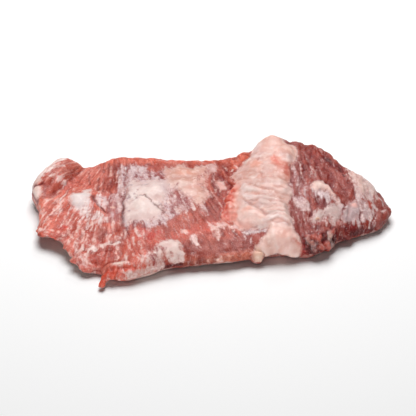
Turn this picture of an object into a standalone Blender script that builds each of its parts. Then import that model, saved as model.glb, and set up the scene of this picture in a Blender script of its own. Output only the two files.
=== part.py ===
"""Pork secreto: a raw, fan-shaped shoulder muscle lying flat, crossed by its thick strap of fat.

Metres, +Z up. +X runs along the piece from the ragged end to the pointed tip, and -Y is the edge
nearest the viewer. The piece lies on the plane z = 0 with the middle of its box over the origin.
The whole piece is one solid: a soft cage of quads under Subdivision Surface, to which the thin
strand of muscle and the small tab of fat on the front edge are joined.
"""

import math

import bmesh
import bpy
import numpy as np
from mathutils import Vector

MM = 0.001

# The outline from above, in mm: (x, y) stations that a smooth curve runs through.
FRONT_EDGE = [
    (-132, -26), (-115, -33), (-106, -43), (-98, -61), (-82, -60), (-71, -69), (-56, -69),
    (-40, -60), (-20, -55), (5, -53), (31, -47), (48, -41), (70, -44), (84, -39), (94, -29),
    (112, -19), (133, -8),
]
BACK_EDGE = [
    (-139, 38), (-128, 50), (-118, 62), (-105, 60), (-94, 61), (-84, 69), (-50, 70), (-20, 70),
    (17, 69), (37, 70), (50, 76), (62, 70), (74, 71), (91, 68), (100, 56), (109, 44), (136, 24),
]
RAGGED_END = [(-132, -26), (-138, 8), (-142, 26), (-139, 38)]
POINTED_TIP = [(133, -8), (139, 0), (140.5, 10), (136, 24)]

# Height of the meat's upper side along the two long edges, in mm: (x, height) stations.
FRONT_HEIGHT = [
    (-130, 12), (-98, 9), (-72, 11), (-40, 15), (0, 13), (30, 12), (50, 14), (75, 16), (95, 14),
    (123, 10), (133, 8),
]
BACK_HEIGHT = [
    (-140, 14), (-118, 18), (-104, 15), (-86, 16), (-50, 17), (0, 17), (17, 19), (33, 23),
    (50, 28), (72, 31), (91, 30), (101, 26), (118, 23), (128, 18), (136, 11),
]
CROWN = 2.0  # how much higher the middle of the muscle is than a straight line between its edges

# The strap of fat: (x, y, half width, height above the meat) from the back edge to the front.
FAT_STRAP = [
    (54, 76, 19, 9), (48, 50, 22, 9), (42, 24, 25, 8), (42, 0, 22, 8), (45, -22, 22, 8),
    (53, -42, 18, 6),
]

# Rounded forms on the upper side, in mm: (x, y, radius along, radius across, turn, height).
BACK_LOBE = (-125, 44, 30, 18, 40, 8)
LOBE_VALLEY = (-103, 42, 16, 20, -20, -3)
FAT_PILLOW = (-102, 14, 18, 15, 10, 4)
MIDDLE_PLATEAU = (-34, 14, 46, 46, 0, 3)
FRONT_ROLL = (-34, -50, 36, 16, 10, 3)
TIP_FOLD = (112, 24, 22, 20, -40, 2)
TOP_FORMS = [BACK_LOBE, LOBE_VALLEY, FAT_PILLOW, MIDDLE_PLATEAU, FRONT_ROLL, TIP_FOLD]

# Where the underside hangs clear of what the piece lies on, in the same form.
FLAP_LIFT = (-128, -36, 46, 34, -30, 7)
LOBE_LIFT = (-146, 44, 24, 20, 0, 4)
TIP_LIFT = (146, 8, 26, 30, 0, 5)
UNDER_FORMS = [FLAP_LIFT, LOBE_LIFT, TIP_LIFT]

# The cage and the roll of its rim.
CELLS_LONG = 34
CELLS_DEEP = 15
EDGE_CROWDING = 0.05  # crowds the cells towards the rim, which keeps its roll tight
RIM_TOP_INSET = 1.5
RIM_TOP_SHARE = 0.87  # share of the upper side's height that the rim starts to roll at
RIM_WAIST_OUTSET = 0.6
RIM_WAIST_SHARE = 0.45
RIM_FOOT_INSET = 2.2
NEAR_RIM = 0.02  # how far inside the outline, as a share of it, the way inward is read
WAIST = 1
TOP = 2

# The strand that hangs off the front edge: (x, y, z, radius), and the tab of fat beside the strap.
STRAND = [
    (-62, -60, 8, 4.4), (-70, -64, 8, 4), (-76, -67, 6.5, 3), (-78, -71, 4.5, 2.3),
    (-78.5, -74, 2.4, 1.4),
]
STRAND_ROUNDNESS = 3
TAB_CENTRE = (34, -47, 6)
TAB_RADII = (5.5, 3.2, 5.5)
TAB_TURN = -20
TAB_RINGS = 8


def smooth_through(stations, at):
    """Values at the places given of a cubic curve through (place, value, ...) stations."""
    table = np.array(stations, dtype=float)
    place = table[:, 0]
    values = table[:, 1:]
    slope = np.gradient(values, place, axis=0)
    at = np.clip(np.asarray(at, dtype=float), place[0], place[-1])
    k = np.clip(np.searchsorted(place, at, side="right") - 1, 0, len(place) - 2)
    span = (place[k + 1] - place[k])[:, None]
    t = (at - place[k])[:, None] / span
    start = values[k] * (1 + 2 * t) * (1 - t) ** 2 + slope[k] * span * t * (1 - t) ** 2
    end = values[k + 1] * t**2 * (3 - 2 * t) + slope[k + 1] * span * t**2 * (t - 1)
    return start + end


def edge_points(stations, share):
    """(x, y) on a long edge, where x is the given share of the way between its ends."""
    first = stations[0][0]
    last = stations[-1][0]
    x = first + (last - first) * share
    return np.column_stack([x, smooth_through(stations, x)])


def end_points(stations, share):
    """(x, y) on a short end, where the share counts the stations passed."""
    steps = np.linspace(0, 1, len(stations))
    table = np.column_stack([steps, stations])
    return smooth_through(table, share)


def outline_patch(u, v):
    """Plan position of the cage's (u, v): the four edges of the outline blended into a patch."""
    front = edge_points(FRONT_EDGE, u)
    back = edge_points(BACK_EDGE, u)
    left = end_points(RAGGED_END, v)
    right = end_points(POINTED_TIP, v)
    u = u[:, None]
    v = v[:, None]
    front_corners = (1 - u) * np.array(FRONT_EDGE[0]) + u * np.array(FRONT_EDGE[-1])
    back_corners = (1 - u) * np.array(BACK_EDGE[0]) + u * np.array(BACK_EDGE[-1])
    corners = (1 - v) * front_corners + v * back_corners
    return (1 - v) * front + v * back + (1 - u) * left + u * right - corners


def rounded_form(x, y, form):
    """A smooth mound or hollow with an oval foot: full height at its centre, none at its rim."""
    cx, cy, along, across, turn, height = form
    c = math.cos(math.radians(turn))
    s = math.sin(math.radians(turn))
    a = ((x - cx) * c + (y - cy) * s) / along
    b = ((y - cy) * c - (x - cx) * s) / across
    return height * np.clip(1 - a**2 - b**2, 0, 1) ** 1.5


def fat_strap(x, y):
    """Height that the strap of fat adds: flat along its crest, steep at both of its sides."""
    from_front = sorted((py, px, width, height) for px, py, width, height in FAT_STRAP)
    crest_x, width, height = smooth_through(from_front, y).T
    offset = np.abs(x - crest_x) / width
    return height * np.clip(1 - offset**3, 0, 1)


def top_height(x, y, v):
    """Height of the upper side at a plan position, v of the way from the front edge to the back."""
    front = smooth_through(FRONT_HEIGHT, x)[:, 0]
    back = smooth_through(BACK_HEIGHT, x)[:, 0]
    height = front + (back - front) * v + CROWN * np.sin(math.pi * v)
    height += fat_strap(x, y)
    for form in TOP_FORMS:
        height += rounded_form(x, y, form)
    return height


def under_height(x, y):
    """Height of the underside: zero wherever the meat lies on something."""
    return sum(rounded_form(x, y, form) for form in UNDER_FORMS)


def crowded(share):
    """Shares from 0 to 1 that lie closer together towards both ends."""
    return share - EDGE_CROWDING * np.sin(2 * math.pi * share)


def stacked_grid():
    """A closed stack of one grid at three levels: the underside, the waist of its rim and the top."""
    bm = bmesh.new()
    bmesh.ops.create_grid(bm, x_segments=CELLS_LONG, y_segments=CELLS_DEEP, size=0.5)
    sheet = bm.faces[:]
    for level in (WAIST, TOP):
        made = bmesh.ops.extrude_face_region(bm, geom=sheet, use_keep_orig=True)["geom"]
        if level == TOP:
            bmesh.ops.delete(bm, geom=sheet, context="FACES")
        sheet = [g for g in made if isinstance(g, bmesh.types.BMFace)]
        for vert in made:
            if isinstance(vert, bmesh.types.BMVert):
                vert.co.z = level
    bmesh.ops.recalc_face_normals(bm, faces=bm.faces[:])
    return bm


def meat_cage():
    """The quad cage: the stacked grid fitted to the outline, with its rim rolled under."""
    bm = stacked_grid()
    u, v, level = (np.array([vert.co[k] for vert in bm.verts]) for k in range(3))
    u = crowded(u + 0.5)
    v = crowded(v + 0.5)
    plan = outline_patch(u, v)
    x, y = plan.T
    low = under_height(x, y)
    thick = top_height(x, y, v) - low

    inner = outline_patch(np.clip(u, NEAR_RIM, 1 - NEAR_RIM), np.clip(v, NEAR_RIM, 1 - NEAR_RIM))
    inward = inner - plan
    on_rim = np.linalg.norm(inward, axis=1) > 0
    inward[on_rim] /= np.linalg.norm(inward[on_rim], axis=1)[:, None]
    inset = np.choose(level.astype(int), [RIM_FOOT_INSET, -RIM_WAIST_OUTSET, RIM_TOP_INSET])
    share = np.choose(level.astype(int), [0, RIM_WAIST_SHARE, np.where(on_rim, RIM_TOP_SHARE, 1)])
    plan += inward * inset[:, None]
    height = low + thick * share
    for vert, (px, py), pz in zip(bm.verts, plan, height):
        vert.co = Vector((px, py, pz)) * MM

    mesh = bpy.data.meshes.new("pork_secreto")
    bm.to_mesh(mesh)
    bm.free()
    return mesh


def raw_pork():
    """Raw pork: dusky rose lean under a moist skin."""
    material = bpy.data.materials.new("raw_pork")
    material.use_nodes = True
    shader = material.node_tree.nodes["Principled BSDF"]
    shader.inputs["Base Color"].default_value = (0.56, 0.19, 0.16, 1.0)
    shader.inputs["Roughness"].default_value = 0.38
    shader.inputs["Metallic"].default_value = 0.0
    return material


def strand_of_muscle(collection):
    """The thin strand torn loose from the front edge, thick where it leaves the meat."""
    curve = bpy.data.curves.new("strand_curve", "CURVE")
    curve.dimensions = "3D"
    curve.bevel_depth = MM
    curve.bevel_resolution = STRAND_ROUNDNESS
    curve.use_fill_caps = True
    curve.resolution_u = 3
    spline = curve.splines.new("NURBS")
    spline.points.add(len(STRAND) - 1)
    spline.use_endpoint_u = True
    spline.order_u = 3
    for point, (x, y, z, radius) in zip(spline.points, STRAND):
        point.co = (x * MM, y * MM, z * MM, 1.0)
        point.radius = radius
    drawn = bpy.data.objects.new("strand_curve", curve)
    collection.objects.link(drawn)
    bpy.context.view_layer.update()
    graph = bpy.context.evaluated_depsgraph_get()
    mesh = bpy.data.meshes.new_from_object(drawn.evaluated_get(graph))
    bm = bmesh.new()
    bm.from_mesh(mesh)
    bmesh.ops.remove_doubles(bm, verts=bm.verts[:], dist=0.00001)
    bmesh.ops.recalc_face_normals(bm, faces=bm.faces[:])
    bm.to_mesh(mesh)
    bm.free()
    strand = bpy.data.objects.new("strand", mesh)
    strand.matrix_world = drawn.matrix_world
    collection.objects.link(strand)
    bpy.data.objects.remove(drawn)
    return strand


def tab_of_fat(collection):
    """The small tab of fat that hangs over the front edge at the foot of the strap."""
    bm = bmesh.new()
    bmesh.ops.create_uvsphere(bm, u_segments=2 * TAB_RINGS, v_segments=TAB_RINGS, radius=1.0)
    mesh = bpy.data.meshes.new("tab")
    bm.to_mesh(mesh)
    bm.free()
    tab = bpy.data.objects.new("tab", mesh)
    tab.location = Vector(TAB_CENTRE) * MM
    tab.scale = Vector(TAB_RADII) * MM
    tab.rotation_euler = (0, math.radians(TAB_TURN), 0)
    collection.objects.link(tab)
    return tab


def join(body, piece):
    """Grow a small piece onto the body."""
    union = body.modifiers.new("join_" + piece.name, "BOOLEAN")
    union.operation = "UNION"
    union.solver = "EXACT"
    union.object = piece
    piece.hide_render = True
    piece.display_type = "WIRE"


def centre_over_origin(body, pieces):
    """Slide everything so that the finished solid's box stands centred on the origin."""
    bpy.context.view_layer.update()
    finished = body.evaluated_get(bpy.context.evaluated_depsgraph_get()).to_mesh()
    corners = np.array([v.co for v in finished.vertices])
    low = corners.min(axis=0)
    high = corners.max(axis=0)
    slide = Vector((-(low[0] + high[0]) / 2, -(low[1] + high[1]) / 2, -low[2]))
    for vert in body.data.vertices:
        vert.co += slide
    for piece in pieces:
        piece.location += slide


def build():
    for old in list(bpy.data.objects):
        bpy.data.objects.remove(old)
    scene = bpy.context.scene
    finished = bpy.data.collections.new("pork_secreto")
    helpers = bpy.data.collections.new("joined_pieces")
    scene.collection.children.link(finished)
    scene.collection.children.link(helpers)

    body = bpy.data.objects.new("pork_secreto", meat_cage())
    body.data.materials.append(raw_pork())
    body.data.shade_smooth()
    finished.objects.link(body)
    soft = body.modifiers.new("soft_form", "SUBSURF")
    soft.levels = 1
    soft.render_levels = 1
    pieces = [strand_of_muscle(helpers), tab_of_fat(helpers)]
    for piece in pieces:
        join(body, piece)
    centre_over_origin(body, pieces)


build()
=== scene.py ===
import itertools
import math

import bpy
import numpy as np
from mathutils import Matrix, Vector, kdtree


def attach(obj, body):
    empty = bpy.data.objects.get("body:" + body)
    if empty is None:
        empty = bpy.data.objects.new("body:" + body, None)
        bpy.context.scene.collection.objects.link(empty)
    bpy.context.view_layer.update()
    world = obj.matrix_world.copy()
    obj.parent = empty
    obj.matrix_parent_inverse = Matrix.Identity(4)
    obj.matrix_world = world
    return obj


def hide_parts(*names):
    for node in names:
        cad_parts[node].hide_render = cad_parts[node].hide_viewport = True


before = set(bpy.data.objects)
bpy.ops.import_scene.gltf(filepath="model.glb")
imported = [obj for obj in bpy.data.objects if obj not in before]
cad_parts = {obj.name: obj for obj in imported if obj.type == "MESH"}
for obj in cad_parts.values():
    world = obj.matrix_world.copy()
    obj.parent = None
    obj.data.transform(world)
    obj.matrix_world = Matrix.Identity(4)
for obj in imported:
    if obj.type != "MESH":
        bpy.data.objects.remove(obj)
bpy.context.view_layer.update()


# ------------------------------------------------------------
# The view: the meat lies on a plain white table, seen from its front edge and from well above,
# under one broad soft light that stands behind it and a white room that fills the shadows.

MM = 0.001
VIEW_HEIGHT = 38.0  # degrees above the table
VIEW_DISTANCE = 906.4  # mm
LENS = 100.0  # mm
AIM = (-1.35, 11.5, 8.0)  # mm, the point at the middle of the picture
ROOM_LIGHT = 0.09

tilt = math.radians(VIEW_HEIGHT)
camera = bpy.data.objects.new("camera", bpy.data.cameras.new("camera"))
camera.data.lens = LENS
camera.data.clip_start = 0.05
toward = Vector((0, -math.cos(tilt), math.sin(tilt)))
camera.location = (Vector(AIM) + toward * VIEW_DISTANCE) * MM
camera.rotation_euler = (math.pi / 2 - tilt, 0, 0)
bpy.context.scene.collection.objects.link(camera)
bpy.context.scene.camera = camera


def soft_light(name, place, size, power):
    """A round soft box at a place in mm, facing the middle of the meat."""
    lamp = bpy.data.lights.new(name, "AREA")
    lamp.shape = "DISK"
    lamp.size = size * MM
    lamp.energy = power
    light = bpy.data.objects.new(name, lamp)
    light.location = Vector(place) * MM
    light.rotation_euler = Vector(place).to_track_quat("Z", "Y").to_euler()
    bpy.context.scene.collection.objects.link(light)
    return light


soft_light("key_light", (-20, 420, 1100), 900, 15.6)
soft_light("glint_light", (160, 950, 800), 200, 1.3)
front_light = soft_light("front_light", (-300, -1400, 420), 700, 12.0)

room = bpy.context.scene.world or bpy.data.worlds.new("room")
bpy.context.scene.world = room
room.use_nodes = True
background = room.node_tree.nodes["Background"]
background.inputs["Color"].default_value = (1, 1, 1, 1)
background.inputs["Strength"].default_value = ROOM_LIGHT

bpy.context.scene.view_settings.view_transform = "Standard"


def screen_colour(code):
    """An sRGB hex colour as three numbers from 0 to 1."""
    return np.array([int(code[k:k + 2], 16) / 255 for k in (1, 3, 5)])


def to_linear(values):
    """sRGB numbers as linear ones."""
    return np.where(values <= 0.04045, values / 12.92, ((values + 0.055) / 1.055) ** 2.4)


def linear(code):
    """An sRGB hex colour as linear RGBA."""
    return (*to_linear(screen_colour(code)), 1.0)


# The table: matt white laminate, so evenly lit that it reads as plain white round the soft shadow.
TABLE_SPAN = 6000  # mm
TABLE_DROP = 0.3  # mm under the meat, so that the two faces never meet
table_mesh = bpy.data.meshes.new("table")
half = TABLE_SPAN * MM / 2
corners = [(-half, -half, 0), (half, -half, 0), (half, half, 0), (-half, half, 0)]
table_mesh.from_pydata(corners, [], [(0, 1, 2, 3)])
table = bpy.data.objects.new("table", table_mesh)
table.location.z = -TABLE_DROP * MM
bpy.context.scene.collection.objects.link(table)
laminate = bpy.data.materials.new("white laminate")
laminate.use_nodes = True
for name, value in (("Base Color", linear("#fdfdfd")), ("Roughness", 0.9), ("Specular IOR Level", 0.1)):
    laminate.node_tree.nodes["Principled BSDF"].inputs[name].default_value = value
table_mesh.materials.append(laminate)


# ------------------------------------------------------------
# The muscle: one flat fan of coarse red fibres, cut from the shoulder and trimmed by knife.
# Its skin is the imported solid, remeshed finely and relaxed so that its facets melt away.

SKIN_GRAIN = 0.91  # mm between the skin's points
WELD_GAP = 0.01  # mm
RELAX_ROUNDS = 11

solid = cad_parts["pork_secreto"]
rough = bpy.data.objects.new("rough", solid.data.copy())
bpy.context.scene.collection.objects.link(rough)
weld = rough.modifiers.new("weld", "WELD")
weld.merge_threshold = WELD_GAP * MM
remesh = rough.modifiers.new("remesh", "REMESH")
remesh.mode = "VOXEL"
remesh.voxel_size = SKIN_GRAIN * MM
bpy.context.view_layer.update()
graph = bpy.context.evaluated_depsgraph_get()
skin = bpy.data.meshes.new_from_object(rough.evaluated_get(graph))
bpy.data.objects.remove(rough)
skin.name = "meat"

count = len(skin.vertices)
at = np.empty(count * 3)
skin.vertices.foreach_get("co", at)
at = at.reshape(-1, 3) / MM
ends = np.empty(len(skin.edges) * 2, dtype=int)
skin.edges.foreach_get("vertices", ends)
ends = ends.reshape(-1, 2)
neighbours = np.bincount(ends.ravel(), minlength=count)


def average(values):
    """Each point's mean of its neighbours' values."""
    columns = values.reshape(count, -1)
    total = np.empty_like(columns, dtype=float)
    for k in range(columns.shape[1]):
        column = columns[:, k]
        total[:, k] = np.bincount(ends[:, 0], column[ends[:, 1]], count)
        total[:, k] += np.bincount(ends[:, 1], column[ends[:, 0]], count)
    return (total / neighbours[:, None]).reshape(values.shape)


def normals():
    """Unit normals of the skin as it stands."""
    skin.vertices.foreach_set("co", (at * MM).ravel())
    skin.update()
    found = np.empty(count * 3)
    skin.vertices.foreach_get("normal", found)
    return found.reshape(-1, 3)


for _ in range(RELAX_ROUNDS):  # a step in and a slightly longer step out, which keeps the size
    at += 0.5 * (average(at) - at)
    at -= 0.52 * (average(at) - at)


def smooth_step(value, low, high):
    """0 below low, 1 above high, and a soft rise between."""
    t = np.clip((value - low) / (high - low), 0, 1)
    return t * t * (3 - 2 * t)


def pull(centre, reach, move):
    """Drag the skin round a place, most at its centre and not at all beyond its reach, in mm."""
    gap = np.linalg.norm((at - centre) / reach, axis=1)
    at[:] += smooth_step(1 - gap, 0, 1)[:, None] * move


# Small moves of the outline at the lobe, the left edge, the strap's two back shoulders, and the
# right end's back edge.
pull((-137, 50, 12), (14, 14, 30), (3.0, -2.0, 0.0))
pull((-122, 62, 14), (16, 16, 30), (0.0, 1.5, 3.0))
pull((-104, 60, 14), (14, 14, 30), (0.0, 1.0, 1.5))
pull((-138, 3, 8), (12, 24, 30), (4.0, 0.0, 0.0))
pull((64, 64, 34), (8, 8, 30), (0.0, -1.0, -2.8))
pull((27, 64, 20), (9, 9, 30), (0.0, 0.5, 2.6))
pull((101, 62, 26), (8, 8, 30), (0.5, 1.5, 2.0))
pull((108, 54, 24), (7, 7, 30), (-1.0, -1.0, -1.5))

# The trimmed rim curls a little off the table, most at the left front corner and under the strap.
RIM_HEIGHT = 14  # mm
CURL_HEIGHT = 16  # mm up from the table, above which nothing curls
CURL_DEPTH = 17  # mm in from the rim
facing = normals()
rim_points = np.where((np.abs(facing[:, 2]) < 0.35) & (at[:, 2] < RIM_HEIGHT))[0]
rim_tree = kdtree.KDTree(len(rim_points))
for k in rim_points:
    rim_tree.insert((*at[k, :2], 0), int(k))
rim_tree.balance()
low_points = np.where(at[:, 2] < CURL_HEIGHT)[0]
rim_gap = np.full(count, 99.0)
rim_gap[low_points] = [rim_tree.find((*at[k, :2], 0))[2] for k in low_points]
lift = np.zeros(count)
for middle, reach, height in (
    ((-118, -36), 26, 6.5), ((-100, -52), 16, 3.0), ((10, -52), 34, 2.5), ((50, -48), 14, 5.0),
    ((100, -28), 34, 1.5),
):
    near = 1 - np.linalg.norm(at[:, :2] - middle, axis=1) / reach
    lift = np.maximum(lift, height * smooth_step(near, 0, 0.8))
lift *= (1 - smooth_step(rim_gap, 0, CURL_DEPTH)) * (1 - smooth_step(at[:, 2], 0, CURL_HEIGHT))
at[:, 2] += lift

# Which way the skin faces, evened out.
facing = normals()
for _ in range(3):
    facing = average(facing)
facing /= np.linalg.norm(facing, axis=1)[:, None]


SCRAMBLE = np.array([73856093, 19349663, 83492791])  # large primes, one for each axis


def cloud(points, size, seed, octaves=1):
    """Smooth noise from -1 to 1 over points in mm; size is the width of its lumps in mm."""
    total = 0
    reach = 0
    for octave in range(octaves):
        cell = points / np.asarray(size, dtype=float) * 2**octave + 17.3 * (seed + octave)
        corner = np.floor(cell).astype(np.int64)
        part = cell - corner
        part = part * part * (3 - 2 * part)
        value = 0
        for step in itertools.product((0, 1), repeat=points.shape[1]):
            draw = (corner + step) @ SCRAMBLE[: points.shape[1]] + seed * 2654435
            draw = (draw ^ (draw >> 13)) * 1274126177 & 0xFFFFFFFF
            draw = (draw ^ (draw >> 16)) & 0xFFFF
            weight = np.prod(np.where(step, part, 1 - part), axis=1)
            value = value + weight * (draw / 32767.5 - 1)
        total = total + value / 2**octave
        reach += 1 / 2**octave
    return np.clip(1.7 * total / reach, -1, 1)


# Where each point of the skin lies, and what is laid on it there.
x, y, z = at.T.copy()
plan = at[:, :2].copy()
top = smooth_step(facing[:, 2], 0.0, 0.55)
under = smooth_step(-facing[:, 2], 0.0, 0.55)
wall = 1 - top - under
shown = 1 - under
front_wall = wall * smooth_step(-facing[:, 1], 0.2, 0.7)
back_wall = wall * smooth_step(facing[:, 1], 0.2, 0.7)

rise = np.zeros(count)  # mm outwards
fat = np.full(count, -6.0)  # mm inside the nearest edge of solid fat
veil = np.zeros(count)  # 0 to 1, how much of the lean a thin white membrane covers

# Grain: the fibres fan out from the back on the left, lean steadily in the middle, and bow on the
# right. Each point gets its place across and along its fibre in mm.
LEFT_FOCUS = (-73, 100)
MIDDLE_FOCUS = (-150, 330)
LEFT_REACH = 95  # mm from its focus, where the fibres lie at their true width
MIDDLE_REACH = 350
SEAM_X = -67
STRAP_X = 45
BOW = 0.003

away = plan - LEFT_FOCUS
left_across = np.arctan2(away[:, 0], -away[:, 1]) * LEFT_REACH
left_along = np.hypot(*away.T)
left_run = away / left_along[:, None]
away = plan - MIDDLE_FOCUS
middle_across = np.arctan2(away[:, 0], -away[:, 1]) * MIDDLE_REACH
middle_along = np.hypot(*away.T)
middle_run = away / middle_along[:, None]
right_across = x + BOW * (y - 12) ** 2 * np.clip((x - 62) / 40, 0, 1)
right_along = y
seam = x + 5 * cloud(plan, 9, 1, 2) * smooth_step(-y, 12, 24)
parts = [(seam < SEAM_X) & (facing[:, 2] > -0.5), (x < STRAP_X) | (facing[:, 2] < -0.5)]
across = np.select(parts, [left_across, middle_across], right_across)
along = np.select(parts, [left_along, middle_along], right_along)
run = np.where(parts[0][:, None], left_run, np.where(parts[1][:, None], middle_run, (0, -1)))
across = across + 1.6 * cloud(at, 15, 8, 2) + 0.35 * cloud(at, 4, 9)
grain = np.column_stack([across, along, z])


# ------------------------------------------------------------
# The lean: bright salmon red where it was cut fresh at the left and along the back, browner in
# the middle, and a darker, drier red at the right end. Its marks are outlines and lines in mm as
# seen from above, with (0, 0) in the middle of the piece.

# Whatever is drawn on the meat wanders a little and tears along the fibres.
sway = np.column_stack([cloud(at, 6, 3, 2), cloud(at, 6, 4, 2)])
sway += 0.5 * np.column_stack([cloud(at, 2.4, 5), cloud(at, 2.4, 6)])
tear_run = run * cloud(grain, (1.4, 12, 6), 7, 2)[:, None]
lumps = cloud(at, 7, 6, 2)


def rounded(points, closed=True, steps=6):
    """A smooth curve through a few points."""
    points = np.array(points, dtype=float)
    if closed:
        before, start, stop, after = (np.roll(points, k, axis=0) for k in (1, 0, -1, -2))
    else:
        padded = np.vstack([2 * points[0] - points[1], points, 2 * points[-1] - points[-2]])
        before, start, stop, after = padded[:-3], padded[1:-2], padded[2:-1], padded[3:]
    t = np.arange(steps)[:, None, None] / steps
    bend = (stop - before) * t + (2 * before - 5 * start + 4 * stop - after) * t**2
    bend = bend + (3 * start - before - 3 * stop + after) * t**3
    curve = (start + bend / 2).transpose(1, 0, 2).reshape(-1, 2)
    return curve if closed else np.vstack([curve, points[-1]])


def drawn_near(curve, margin, stray, fray):
    """The skin points near a curve, and where each of them lies on the wandering drawing."""
    within = (plan > curve.min(axis=0) - margin) & (plan < curve.max(axis=0) + margin)
    near = np.where(within.all(axis=1))[0]
    return near, plan[near] + stray * sway[near] + fray * tear_run[near]


def distance_to(curve, places):
    """Each place's distance in mm to a line of points, and its side of it: 1 left, -1 right."""
    start = curve[:-1]
    span = curve[1:] - start
    gap = places[:, None] - start
    t = np.clip((gap * span).sum(-1) / ((span**2).sum(-1) + 1e-9), 0, 1)
    reach = np.sqrt(((gap - t[..., None] * span) ** 2).sum(-1))
    nearest = reach.argmin(axis=1)
    row = np.arange(len(places))
    side = span[nearest, 0] * gap[row, nearest, 1] - span[nearest, 1] * gap[row, nearest, 0]
    return reach[row, nearest], np.where(side > 0, 1, -1)


def depth_in(outline, stray=1.0, fray=1.0, margin=8.0):
    """Depth in mm of each skin point inside a closed outline; negative outside it."""
    curve = rounded(outline)
    loop = np.vstack([curve, curve[0]])
    near, places = drawn_near(curve, margin, stray, fray)
    px, py = places.T
    ax, ay = loop[:-1].T
    bx, by = loop[1:].T
    crosses = (ay <= py[:, None]) != (by <= py[:, None])
    edge_x = ax + (py[:, None] - ay) / (by - ay + 1e-12) * (bx - ax)
    within = (crosses & (px[:, None] < edge_x)).sum(axis=1) % 2 == 1
    gap = distance_to(loop, places)[0]
    depth = np.full(count, -margin)
    depth[near] = np.clip(np.where(within, gap, -gap), -margin, None)
    return depth


def inside(outline, soft=3.0, stray=1.0, fray=1.0):
    """1 inside an outline and 0 outside it, with a soft edge."""
    return smooth_step(depth_in(outline, stray, fray), -soft, soft) * shown


def spot(centre, radii, turn=0.0):
    """1 at the centre of an oval spot, falling softly to 0 at its rim."""
    c, s = math.cos(math.radians(turn)), math.sin(math.radians(turn))
    dx, dy = (plan + 0.8 * sway - centre).T
    reach = ((dx * c + dy * s) / radii[0]) ** 2 + ((dy * c - dx * s) / radii[1]) ** 2
    return np.clip(1 - reach, 0, 1) ** 1.5 * shown


def line(points, width, stray=0.7, fray=0.0):
    """1 on a line of points, falling to 0 at its width on either side."""
    curve = rounded(points, closed=False)
    near, places = drawn_near(curve, 2 * width + 3, stray, fray)
    mark = np.zeros(count)
    mark[near] = np.clip(1 - distance_to(curve, places)[0] / width, 0, 1) * shown[near]
    return mark


def tint(paint, share, code):
    """Blend a screen colour into one of the skin's paints: lean, film or wax."""
    paint += np.clip(share, 0, 1)[:, None] * (screen_colour(code) - paint)


lean = np.tile(screen_colour("#bb5d51"), (count, 1))
film = np.tile(screen_colour("#e0b3aa"), (count, 1))
wax = np.tile(screen_colour("#e2beb4"), (count, 1))

# The fresh left end, the strand's corner, and the bare fibres behind the pillow.
FIBRE_ZONE = [(-93, 66), (-70, 66), (-70, 16), (-80, 18), (-92, 26)]
fresh_front = smooth_step(-x, 36, 44) * smooth_step(-y, 26, 38)
tint(lean, smooth_step(-x, 64, 78), "#dc6e5d")
tint(lean, smooth_step(-x, 106, 122), "#ea7763")
tint(lean, smooth_step(-x, 66, 80) * smooth_step(-y, 14, 30), "#d36557")
tint(lean, inside(FIBRE_ZONE, 4), "#c3655a")
tint(lean, 0.8 * inside([(-100, 60), (-86, 62), (-86, 44), (-100, 38)], 4), "#dc7261")
tint(lean, 0.8 * inside([(-80, 66), (-72, 66), (-72, 30), (-78, 30)], 3), "#984640")
tint(lean, fresh_front * smooth_step(x, -70, -66), "#dc7262")

# The darker hollow along the strap's left edge, the fresh back edge, and the shoulder behind.
tint(lean, inside([(-3, 14), (8, 14), (14, -2), (10, -12), (2, -12), (-4, -2)], 3), "#9e463d")
tint(lean, inside([(0, 50), (10, 56), (20, 44), (18, 18), (10, 8), (4, 20)], 4), "#a64d43")
tint(lean, smooth_step(y, 54, 63) * smooth_step(-x, -32, -18), "#ea7a64")
tint(lean, back_wall, "#ea7a64")
shoulder = inside([(12, 66), (34, 70), (36, 58), (26, 51), (18, 46), (16, 56)], 3)
tint(lean, shoulder, "#e2745c")
veil -= 0.2 * shoulder
rise += 0.9 * cloud(at, 3.5, 48, 2) * shoulder

# The dry right end: its dark lean, the redder crest along its back edge, and the dip in front.
dry_lean = inside([
    (70, 60), (94, 56), (106, 42), (111, 26), (105, 8), (98, 16), (90, 26), (80, 28), (72, 40),
], 4)
CREST = [(66, 70), (78, 68), (88, 62), (97, 55), (104, 46), (108, 39)]
tint(lean, smooth_step(x, 58, 64), "#98463f")
tint(lean, 0.8 * smooth_step(x, 58, 61) * smooth_step(-x, -75, -70), "#a0605f")
tint(lean, inside([(76, 60), (98, 56), (104, 40), (96, 34), (84, 44)], 5), "#8d3b38")
tint(lean, 0.65 * dry_lean, "#8a3c38")
tint(lean, 0.8 * line(CREST, 4, 1.5), "#a94a3e")
tint(lean, 0.8 * back_wall * smooth_step(x, 60, 66), "#bb5548")
veil -= 0.2 * line(CREST, 6, 1.5)
veil -= 0.25 * dry_lean
tint(lean, inside([(90, 52), (97, 51), (104, 41), (103, 34), (98, 36), (93, 43)], 2.5), "#5c1012")
for centre, radii, code in (
    ((86, 56), (5, 7), "#b05247"), ((105, 6), (4, 6), "#b57e7a"), ((72, 54), (5, 8), "#c8857d"),
    ((80, -26), (6, 4), "#6a2b29"), ((86, -19), (5, 4), "#b97b77"), ((69, -23), (4, 8), "#8f4b48"),
):
    tint(lean, 0.9 * spot(centre, radii), code)
tint(lean, 0.8 * spot((104, 27), (6, 9)), "#a65756")
for centre, radii, more in (
    ((101, -17), (6, 6), 0.25), ((74, -4), (7, 6), -0.4), ((75, 15), (6, 6), -0.2), ((72, 54), (5, 8), 0.15),
):
    veil += more * spot(centre, radii)
# Painted shade on the front wall: all of it at the right end, and its low part from about x = -40 mm
# rightwards.
tint(lean, smooth_step(x, 70, 78) * front_wall, "#5e2422")
tint(lean, smooth_step(-z, -9, -3) * front_wall * smooth_step(x, -45, -36), "#6c2c29")

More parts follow.
